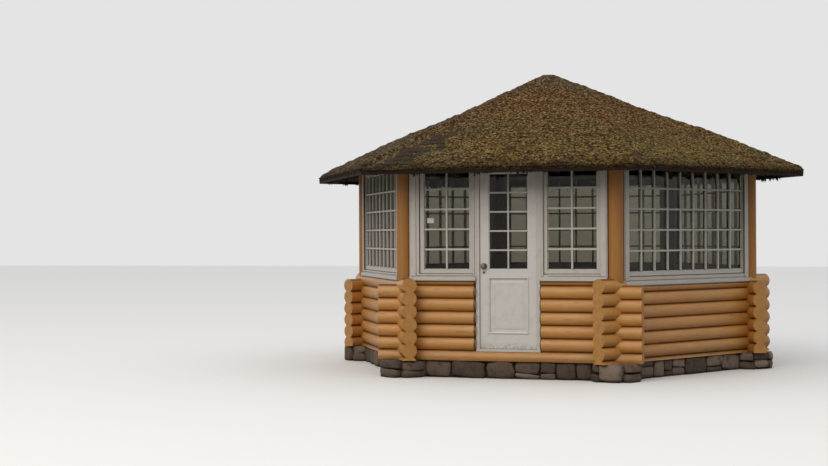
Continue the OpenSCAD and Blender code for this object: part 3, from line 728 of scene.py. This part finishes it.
def shingle_tree():
    """Courses of split shingles low on one slope: x runs along the eave, y up the slope."""
    tree, given = open_tree("shingle_courses", {
        "eave half": 1.5, "slope length": 3.0, "exposure": 0.12, "shingle width": 0.1, "seed": 4})
    length, half = given["slope length"], given["eave half"]
    wide, shown = given["shingle width"], given["exposure"]
    eave = add(tree, "ShaderNodeMath", {0: half, 1: 2.0}, operation="MULTIPLY")
    fields = add(tree, "ShaderNodeMath", {0: eave, 1: wide}, operation="DIVIDE")
    columns = add(tree, "ShaderNodeMath", {0: fields}, operation="CEIL")
    rows = add(tree, "ShaderNodeMath", {0: length, 1: shown}, operation="DIVIDE")
    courses = add(tree, "ShaderNodeMath", {0: rows}, operation="FLOOR")
    gaps = add(tree, "ShaderNodeMath", {0: courses, 1: 1}, operation="SUBTRACT")
    grid = add(tree, "GeometryNodeMeshGrid", {
        "Size X": add(tree, "ShaderNodeMath", {0: wide, 1: columns}, operation="MULTIPLY"),
        "Size Y": add(tree, "ShaderNodeMath", {0: shown, 1: gaps}, operation="MULTIPLY"),
        "Vertices X": add(tree, "ShaderNodeMath", {0: columns, 1: 1}, operation="ADD"), "Vertices Y": courses})
    covered = add(tree, "ShaderNodeMath", {0: shown, 1: courses}, operation="MULTIPLY")
    middle = add(tree, "ShaderNodeMath", {0: covered, 1: 0.5, 2: 0.10}, operation="MULTIPLY_ADD")
    lifted = add(tree, "GeometryNodeTransform", {
        "Geometry": grid, "Translation": add(tree, "ShaderNodeCombineXYZ", {"Y": middle})})
    # How far each one is shifted, tipped and scaled, at the least and at the most
    jitter, tilt, size = [
        add(tree, "FunctionNodeRandomValue", {"Min": low, "Max": high, "Seed": given["seed"]},
            data_type="FLOAT_VECTOR")
        for low, high in (((-0.03, -0.012, -0.002), (0.03, 0.012, 0.002)),
                          ((-0.062, -0.02, -0.035), (-0.036, 0.02, 0.035)),
                          ((0.7, 0.95, 0.8), (1.1, 1.03, 1.3)))]
    moved = add(tree, "GeometryNodeSetPosition", {"Geometry": lifted, "Offset": jitter})
    spot = add(tree, "ShaderNodeSeparateXYZ", {0: add(tree, "GeometryNodeInputPosition")}).outputs
    # Only the lowest third is laid, and nothing past the hips
    too_high = add(tree, "FunctionNodeCompare", {
        0: spot["Y"], 1: add(tree, "ShaderNodeMath", {0: length, 1: LAID_SHARE}, operation="MULTIPLY")},
        data_type="FLOAT", operation="GREATER_THAN")
    head = add(tree, "ShaderNodeMath", {0: spot["Y"], 1: 0.16}, operation="ADD")
    share = add(tree, "ShaderNodeMath", {0: head, 1: length}, operation="DIVIDE")
    left = add(tree, "ShaderNodeMath", {0: 1.0, 1: share}, operation="SUBTRACT")
    hip = add(tree, "ShaderNodeMath", {0: half, 1: left}, operation="MULTIPLY")
    room = add(tree, "ShaderNodeMath", {0: wide, 1: -0.55, 2: hip}, operation="MULTIPLY_ADD")
    outside = add(tree, "FunctionNodeCompare", {
        0: add(tree, "ShaderNodeMath", {0: spot["X"]}, operation="ABSOLUTE"), 1: room},
        data_type="FLOAT", operation="GREATER_THAN")
    kept = add(tree, "GeometryNodeDeleteGeometry", {
        "Geometry": moved, "Selection": add(tree, "FunctionNodeBooleanMath", {0: outside, 1: too_high},
                                            operation="OR")}, domain="POINT")
    shingle = add(tree, "GeometryNodeMeshCube", {"Size": SHINGLE_SIZE})
    laid = add(tree, "GeometryNodeInstanceOnPoints", {
        "Points": kept, "Instance": shingle, "Rotation": tilt, "Scale": size})
    return close_tree(tree, given, laid)


def make_roof(moss, shingle_wood):
    """A sheet of moss on every slope, over shingles that show where it is thin."""
    tree = shingle_tree()
    for i in range(SIDES):
        moss_sheet(i, moss)
        name = f"shingles_{SIDE_NAMES[i]}"
        mesh = grown_mesh(name, tree, {
            "eave half": EAVE_HALF, "slope length": EAVE_APOTHEM / math.cos(PITCH),
            "exposure": SHINGLE_EXPOSURE, "shingle width": SHINGLE_SPACING, "seed": 11 + i,
            "material": shingle_wood})
        mesh.transform(Matrix.Rotation(side_turn(i), 4, "Z")
                       @ Matrix.Translation((0, -EAVE_APOTHEM, roof_top(EAVE_APOTHEM)))
                       @ Matrix.Rotation(PITCH, 4, "X") @ Matrix.Translation((0, 0.02, -0.019)))
        piece(name, mesh, shingle_wood, "root")


# Eaves


def wisp_tree():
    """Wisps of moss and lichen that hang from one eave: x runs along it."""
    tree, given = open_tree("hanging_wisps", {"half": 1.5, "count": 300, "seed": 3})
    start = add(tree, "ShaderNodeMath", {0: given["half"], 1: -1.0}, operation="MULTIPLY")
    line = add(tree, "GeometryNodeMeshLine", {
        "Count": given["count"], "Start Location": add(tree, "ShaderNodeCombineXYZ", {"X": start}),
        "Offset": add(tree, "ShaderNodeCombineXYZ", {"X": given["half"]})}, mode="END_POINTS")
    # How far each one is shifted, leant and scaled, at the least and at the most
    jitter, lean, size = [
        add(tree, "FunctionNodeRandomValue", {"Min": low, "Max": high, "Seed": given["seed"]},
            data_type="FLOAT_VECTOR")
        for low, high in (((-0.012, 0.0, -0.006), (0.012, 0.026, 0.006)),
                          ((math.pi - 0.35, -0.4, 0.0), (math.pi + 0.35, 0.4, 6.28)),
                          ((0.8, 0.5, 0.3), (2.8, 1.1, 1.25)))]
    moved = add(tree, "GeometryNodeSetPosition", {"Geometry": line, "Offset": jitter})
    wisp = add(tree, "GeometryNodeMeshCone", {
        "Vertices": 5, "Radius Top": 0.002, "Radius Bottom": 0.009, "Depth": 0.07})
    # They hang in bunches, long in some places and short in others, and shorter towards the corners
    place = add(tree, "GeometryNodeInputPosition")
    bunch = add(tree, "ShaderNodeTexNoise", {"Vector": place, "Scale": 5.0, "Detail": 3.0})
    drop = add(tree, "ShaderNodeMath", {0: zone(tree, bunch, 0.38, 0.62), 1: 0.12}, operation="ADD")
    along = add(tree, "ShaderNodeSeparateXYZ", {0: place}).outputs["X"]
    from_middle = add(tree, "ShaderNodeMath", {0: along}, operation="ABSOLUTE")
    share = add(tree, "ShaderNodeMath", {0: from_middle, 1: given["half"]}, operation="DIVIDE")
    fade = add(tree, "ShaderNodeMath", {0: zone(tree, share, 0.66, 0.9), 1: -0.7, 2: 1.0},
               operation="MULTIPLY_ADD")
    length = add(tree, "ShaderNodeMath", {0: drop, 1: fade}, operation="MULTIPLY")
    size = add(tree, "ShaderNodeVectorMath", {
        0: size, 1: add(tree, "ShaderNodeCombineXYZ", {"X": 1.0, "Y": 1.0, "Z": length})}, operation="MULTIPLY")
    hung = add(tree, "GeometryNodeInstanceOnPoints", {
        "Points": moved, "Instance": wisp, "Rotation": lean, "Scale": size})
    return close_tree(tree, given, hung)


def sarking_tree():
    """Boards under one slope: x along the eave, y up the slope, each as long as the slope is wide."""
    tree, given = open_tree("sarking_boards", {
        "eave half": 1.5, "slope length": 3.0, "board width": 0.12, "gap": 0.006})
    step = add(tree, "ShaderNodeMath", {0: given["board width"], 1: given["gap"]}, operation="ADD")
    usable = add(tree, "ShaderNodeMath", {0: given["slope length"], 1: 0.22}, operation="SUBTRACT")
    fields = add(tree, "ShaderNodeMath", {0: usable, 1: step}, operation="DIVIDE")
    line = add(tree, "GeometryNodeMeshLine", {
        "Count": add(tree, "ShaderNodeMath", {0: fields}, operation="FLOOR"), "Start Location": (0, 0.12, 0),
        "Offset": add(tree, "ShaderNodeCombineXYZ", {"Y": step})}, mode="OFFSET")
    up = add(tree, "ShaderNodeSeparateXYZ", {0: add(tree, "GeometryNodeInputPosition")}).outputs["Y"]
    risen = add(tree, "ShaderNodeMath", {0: up, 1: given["slope length"]}, operation="DIVIDE")
    share = add(tree, "ShaderNodeMath", {0: 1.0, 1: risen}, operation="SUBTRACT")
    eave = add(tree, "ShaderNodeMath", {0: given["eave half"], 1: 2.0}, operation="MULTIPLY")
    length = add(tree, "ShaderNodeMath", {0: eave, 1: share}, operation="MULTIPLY")
    board = add(tree, "GeometryNodeMeshCube", {
        "Size": add(tree, "ShaderNodeCombineXYZ", {"X": 1.0, "Y": given["board width"], "Z": 0.016})})
    laid = add(tree, "GeometryNodeInstanceOnPoints", {
        "Points": line, "Instance": board,
        "Scale": add(tree, "ShaderNodeCombineXYZ", {"X": length, "Y": 1.0, "Z": 1.0})})
    return close_tree(tree, given, laid)


def make_eaves(moss, board):
    """What hangs from the eaves, and the boards seen under them."""
    wisps, boards = wisp_tree(), sarking_tree()
    for i in range(SIDES):
        turn = Matrix.Rotation(side_turn(i), 4, "Z")
        name = f"wisps_{SIDE_NAMES[i]}"
        mesh = grown_mesh(name, wisps, {"half": EAVE_HALF - 0.03, "count": 620, "seed": 20 + i, "material": moss})
        mesh.transform(turn @ Matrix.Translation((0, -EAVE_APOTHEM + 0.030, EAVE_Z + 0.012)))
        piece(name, mesh, moss, "root")
        name = f"sarking_{SIDE_NAMES[i]}"
        mesh = grown_mesh(name, boards, {
            "eave half": EAVE_HALF, "slope length": EAVE_APOTHEM / math.cos(PITCH),
            "board width": 0.12, "gap": 0.006, "material": board})
        mesh.transform(turn @ Matrix.Translation((0, -EAVE_APOTHEM, EAVE_Z)) @ Matrix.Rotation(PITCH, 4, "X")
                       @ Matrix.Translation((0, 0, -0.006)))
        piece(name, mesh, board, "root")


# Stones under the walls

WALL_STONE_END = 0.99
PLINTH_OUT, PLINTH_IN = -0.075, 0.150
WALL_STONE_HALF = 0.07
PAD_R = 0.285
WALL_EARTH_TOP, PAD_EARTH_TOP = PLINTH_TOP - 0.006, PLINTH_TOP - 0.008


def stone_shape(centre, half, seed, cuts=6):
    """One rounded field stone inside the box around its centre: a worn block."""
    work = bmesh.new()
    bmesh.ops.create_cube(work, size=2.0)
    bmesh.ops.subdivide_edges(work, edges=work.edges[:], cuts=cuts, use_grid_fill=True)
    turn = Matrix.Rotation(seed * 2.4, 3, "Z")
    for vert in work.verts:
        p = vert.co
        rounded = p * 0.62 + p.normalized() * max(abs(c) for c in p) * 0.46
        rounded *= 0.95 + 0.11 * noise.fractal(turn @ p * 0.8 + Vector((seed, 0, 0)), 0.8, 2.0, 3)
        vert.co = Vector([mid + max(-1.0, min(1.0, c)) * reach for mid, c, reach in zip(centre, rounded, half)])
    return work


def kept_level(part):
    """Keeps a stone between the ground and the plinth's top."""
    for vert in part.verts:
        vert.co.z = min(max(vert.co.z, 0.0), PLINTH_TOP)


def wall_stones(rng, i):
    """Rubble along one side, some of it in two courses."""
    turn = side_matrix(i)
    stones = []
    x = -WALL_STONE_END
    while x < WALL_STONE_END:
        width = min(rng.uniform(0.14, 0.44), WALL_STONE_END - x)
        if WALL_STONE_END - x - width < 0.12:
            width = WALL_STONE_END - x
        split = rng.uniform(0.06, 0.14) if width < 0.36 and rng.random() < 0.65 else None
        for low, high in [(0.0, PLINTH_TOP)] if split is None else [(0.0, split), (split, PLINTH_TOP)]:
            back = rng.uniform(0.0, 0.022)
            centre = (x + width / 2, PLINTH_OUT + back + WALL_STONE_HALF, (low + high) / 2)
            half = (width / 2, WALL_STONE_HALF, (high - low) / 2 * 1.02)
            part = stone_shape(centre, half, rng.uniform(1, 90))
            part.transform(Matrix.Translation(centre) @ Matrix.Rotation(rng.uniform(-0.12, 0.12), 4, "Y")
                           @ Matrix.Translation([-c for c in centre]))
            kept_level(part)
            for vert in part.verts:
                vert.co.y = max(vert.co.y, PLINTH_OUT)
            part.transform(turn)
            stones.append(part)
        x += width
    return stones


def pad_stones(rng, corner):
    """Rough blocks packed in a ring under one corner."""
    stones = []
    count = rng.randint(5, 7)
    start = rng.uniform(0, 6.28)
    for n in range(count):
        angle = start + 2 * math.pi * (n + rng.uniform(-0.12, 0.12)) / count
        reach = rng.uniform(0.095, 0.13)
        for low, high in ((0.0, PLINTH_TOP),) if rng.random() < 0.5 else ((0.0, 0.105), (0.10, PLINTH_TOP)):
            centre = (PAD_R - reach - rng.uniform(0.0, 0.022), 0, (low + high) / 2)
            half = (reach, math.pi * 0.25 / count * rng.uniform(0.92, 1.1), (high - low) / 2 * 1.03)
            part = stone_shape(centre, half, rng.uniform(1, 90))
            spin = Matrix.Rotation(angle + rng.uniform(-0.1, 0.1), 4, "Z")
            part.transform(Matrix.Translation(corner) @ spin @ Matrix.Rotation(rng.uniform(-0.08, 0.08), 4, "Y"))
            kept_level(part)
            for vert in part.verts:
                flat = Vector((vert.co.x - corner.x, vert.co.y - corner.y))
                if flat.length > PAD_R:
                    flat *= PAD_R / flat.length
                    vert.co.x, vert.co.y = corner.x + flat.x, corner.y + flat.y
            stones.append(part)
    return stones


def make_stones(stone, soil):
    """Rubble walls between the corners, and rough blocks packed under each corner, with earth between."""
    rng = random.Random(5)
    walls, pads, wall_fill, pad_fill = [], [], [], []
    for i in range(SIDES):
        turn = side_matrix(i)
        walls += wall_stones(rng, i)
        fill = box_part((-1.0, PLINTH_OUT + 0.05, 0.0), (1.0, PLINTH_IN, WALL_EARTH_TOP))
        fill.transform(turn)
        wall_fill.append(fill)
        corner = turn @ Vector((SIDE_LEN / 2, 0, 0))
        pads += pad_stones(rng, corner)
        fill = bmesh.new()
        bmesh.ops.create_cone(fill, cap_ends=True, segments=24, radius1=0.215, radius2=0.205, depth=PAD_EARTH_TOP)
        fill.transform(Matrix.Translation(corner + Vector((0, 0, PAD_EARTH_TOP / 2))))
        pad_fill.append(fill)
    rubble, packed = (joined(parts, name, True) for parts, name in (
        (walls, "rubble_plinth"), (pads, "corner_rubble")))
    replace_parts(piece("rubble_plinth", rubble, stone, "root"), "stone_plinth")
    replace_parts(piece("corner_rubble", packed, stone, "root"), "corner_stones")
    piece("earth_in_plinth", joined(wall_fill, "earth_in_plinth"), soil, "root")
    piece("earth_in_corners", joined(pad_fill, "earth_in_corners"), soil, "root")


# Joinery


def swept_frame(x0, x1, z0, z1, profile):
    """A mitred frame round a rectangle. The profile is a closed loop of (inset, y) points."""
    work = bmesh.new()
    loops = []
    for inset, y in profile:
        corners = [(x0 + inset, z0 + inset), (x1 - inset, z0 + inset), (x1 - inset, z1 - inset),
                   (x0 + inset, z1 - inset)]
        loops.append([work.verts.new((x, y, z)) for x, z in corners])
    for a in range(len(loops)):
        b = (a + 1) % len(loops)
        for c in range(4):
            d = (c + 1) % 4
            work.faces.new((loops[a][c], loops[a][d], loops[b][d], loops[b][c]))
    bmesh.ops.recalc_face_normals(work, faces=work.faces[:])
    return work


SOFT_EDGE = 0.002
BEAD_LAP = 0.0005


def window_trim(white, paper):
    """Casing boards, a strip over the sill and a glazing bead for every window."""
    face = CASING_FACE
    for name, (side, left, right, bottom, _) in WINDOWS.items():
        seat = RIGHT_SEAT_Z if side == "right_front" else SEAT_Z
        low, high = FRAME_SPANS.get(name, (-FRAME_HALF, FRAME_HALF))
        board_foot, board_top = seat + SILL_H + 0.002, HEAD_Z - 0.004
        parts = []
        for end, inward in ((low, 1), (high, -1)):
            wide = 0.066 if abs(end) > 1 else 0.022
            a, b = sorted((end + inward * 0.014, end + inward * (0.014 + wide)))
            parts.append(box_part((a, face - 0.010, board_foot), (b, face + 0.003, board_top), SOFT_EDGE))
        parts.append(box_part((low + 0.086, face - 0.008, board_foot + 0.006),
                              (high - (0.086 if high > 1 else 0.042), face + 0.003, board_foot + 0.024), SOFT_EDGE))
        # The sill's nose, with a drip edge
        parts.append(box_part((low + 0.004, face - 0.0285, seat + 0.004),
                              (high - 0.004, face - 0.020, seat + 0.034), 0.003))
        parts.append(swept_frame(left - BEAD_LAP, right + BEAD_LAP, bottom - BEAD_LAP, GLASS_TOP + BEAD_LAP,
                                 [(0.0, -0.006), (0.0, -0.014), (0.009, -0.006)]))
        trim = joined(parts, f"{name}_trim", side=SIDE_NAMES.index(side))
        piece(f"{name}_trim", trim, white, "root")
    sheet = box_part((-0.960, -0.0066, 1.785), (-0.880, -0.0058, 1.844))
    piece("paper_square", joined([sheet], "paper_square", side=0), paper, "root")


def door_trim(paint):
    """The lower panel's moulding on both faces, and the beads that hold the door's glass."""
    left, right, foot, top = DOOR_PANEL
    parts = []
    for face, out in ((LEAF_OUT, -1), (LEAF_IN, 1)):
        parts.append(swept_frame(left - 0.012, right + 0.012, foot - 0.012, top + 0.012, [
            (0.0, face - out * 0.002), (0.0, face + out * 0.005), (0.008, face + out * 0.009),
            (0.020, face + out * 0.004), (0.024, face - out * 0.0095), (0.012, face - out * 0.0095)]))
        parts.append(swept_frame(left + 0.038, right - 0.038, foot + 0.038, top - 0.038, [
            (0.0, face - out * 0.0105), (0.0, face - out * 0.009), (0.012, face - out * 0.005),
            (0.030, face - out * 0.005), (0.030, face - out * 0.0105)]))
        near, far = sorted((face - out * 0.0105, face - out * 0.005))
        parts.append(box_part((left + 0.066, near, foot + 0.066), (right - 0.066, far, top - 0.066), 0.001))
    left, right, foot, top = DOOR_GLASS
    bead_y = DOOR_GLASS_FACE - BEAD_LAP
    parts.append(swept_frame(left - BEAD_LAP, right + BEAD_LAP, foot - BEAD_LAP, top + BEAD_LAP,
                             [(0.0, bead_y), (0.0, -0.022), (0.009, bead_y)]))
    piece("door_mouldings", joined(parts, "door_mouldings", side=0), paint, "door")


# Floor

FLOOR_BOARDS = 34
FLOOR_JOINT = 0.002


def clipped_strip(y0, y1, reach):
    """A floor board's outline: the part of a strip that lies inside the hexagon of this apothem."""
    rows = (y0, 0.0, y1) if y0 < 0 < y1 else (y0, y1)
    right = [((2 * reach - abs(y)) / math.sqrt(3), y) for y in rows]
    left = [(-x, y) for x, y in right]
    return left[:1] + right + left[:0:-1]


def make_floor(board):
    """Floor boards with open joints, cut to the room's six sides."""
    low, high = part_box("floor_boards")
    reach = high.y - 0.003
    pitch = 2 * reach / FLOOR_BOARDS
    parts = []
    for n in range(FLOOR_BOARDS):
        outline = clipped_strip(n * pitch - reach + FLOOR_JOINT, (n + 1) * pitch - reach - FLOOR_JOINT, reach)
        work = bmesh.new()
        face = work.faces.new([work.verts.new((x, y, low.z)) for x, y in outline])
        grown = bmesh.ops.extrude_face_region(work, geom=[face])
        for item in grown["geom"]:
            if isinstance(item, bmesh.types.BMVert):
                item.co.z = high.z - 0.0004 - 0.0012 * (n % 3 == 1)
        bmesh.ops.recalc_face_normals(work, faces=work.faces[:])
        parts.append(work)
    made = piece("laid_floor", joined(parts, "laid_floor"), board, "root")
    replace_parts(made, "floor_boards")


# Finishes


def make_materials():
    """Each slot's material; the logs have one for every side."""
    finishes = {
        "white_paint": paint_material("chalky_white_linseed_paint", "#CFC9C0", "#A0978B"),
        "door_paint": paint_material("greyed_door_paint", "#DEDAD4", "#B8B2A9", algae_below=0.37),
        "window_pane": glass_material(),
        "stained_post": post_material(),
        "dark_timber": timber_material("dark_weathered_pine", "#1E140C", "#3A291B"),
        "floor_timber": timber_material("worn_floor_pine", "#4A3826", "#7A6248"),
        # Painted shade: the grey boards at the eave are given near-black tones, as the shade under the eave
        "grey_board": timber_material("shade_darkened_grey_board", "#150F0A", "#2A2018", rough=0.95),
        "iron": metal_material("black_iron", "#2B2825", 0.5),
        "nickel": metal_material("dulled_nickel", "#6B655B", 0.25),
        "moss_roof": moss_material(),
        "fieldstone": stone_material(),
    }
    return finishes, [log_material(i) for i in range(SIDES)]


def dress_nodes(finishes, logs):
    """Gives every construction piece the finish of its slot."""
    for row in frame["record"]["subparts"]:
        name, slot = row["node"], row["material_slot"]
        if slot == "ochre_log":
            side = "front" if name.startswith("front") else name.removesuffix("_wall")
            mat = logs[SIDE_NAMES.index(side)]
        else:
            mat = finishes[slot]
        materials = frame["nodes"][name].data.materials
        materials.clear()
        materials.append(mat)


bpy.context.scene.view_settings.view_transform = "Standard"
make_camera()
make_light()
floor_stage()
finishes, logs = make_materials()
dress_nodes(finishes, logs)
window_and_door_bars(finishes["white_paint"])
make_roof(finishes["moss_roof"],
          timber_material("silvered_split_shingle", "#1C140C", "#4A3B29", upright=True, rough=0.95))
make_stones(finishes["fieldstone"], soil_material())
make_eaves(finishes["moss_roof"], finishes["dark_timber"])
window_trim(finishes["white_paint"], paper_material())
door_trim(finishes["door_paint"])
make_floor(finishes["floor_timber"])
